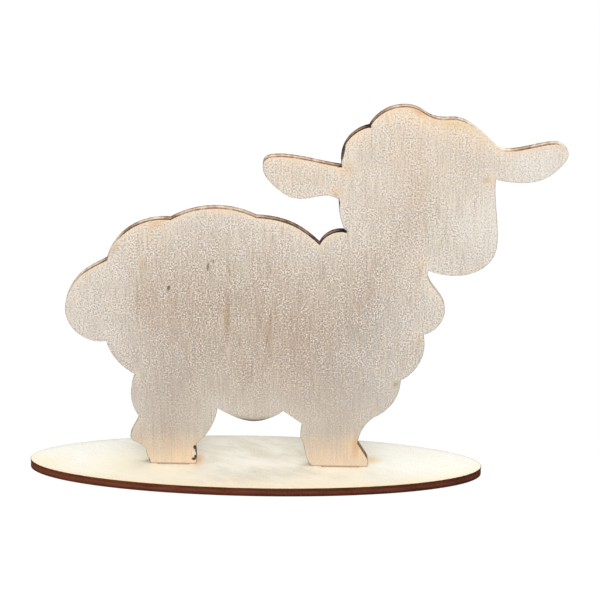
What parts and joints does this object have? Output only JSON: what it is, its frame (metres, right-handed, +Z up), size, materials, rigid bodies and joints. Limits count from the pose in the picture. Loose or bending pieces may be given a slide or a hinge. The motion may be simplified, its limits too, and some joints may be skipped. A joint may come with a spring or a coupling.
{
  "type": "sheep figurine",
  "caption": "Flat plywood sheep with a scalloped fleece outline, standing upright in slots on an oval plywood base.",
  "frame": {"origin": "middle of the base's underside", "axes": "+Z up, +X towards the sheep's head, -Y out of the sheep's front face"},
  "size_m": [0.1707, 0.036, 0.1305],
  "materials": {
    "birch_face": "matte",
    "birch_base": "matte",
    "birch_core": "matte"
  },
  "bodies": {
    "base": {"base_bottom_veneer": "birch_base", "base_core_veneer": "birch_core", "base_top_veneer": "birch_base"},
    "sheep": {"sheep_back_veneer": "birch_face", "sheep_core_veneer": "birch_core", "sheep_front_veneer": "birch_face"}
  },
  "joints": [
    {"name": "sheep_lift", "type": "slide", "parent": "base", "child": "sheep", "axis": [0, 0, 1], "range_m": [0, 0.02]}
  ]
}
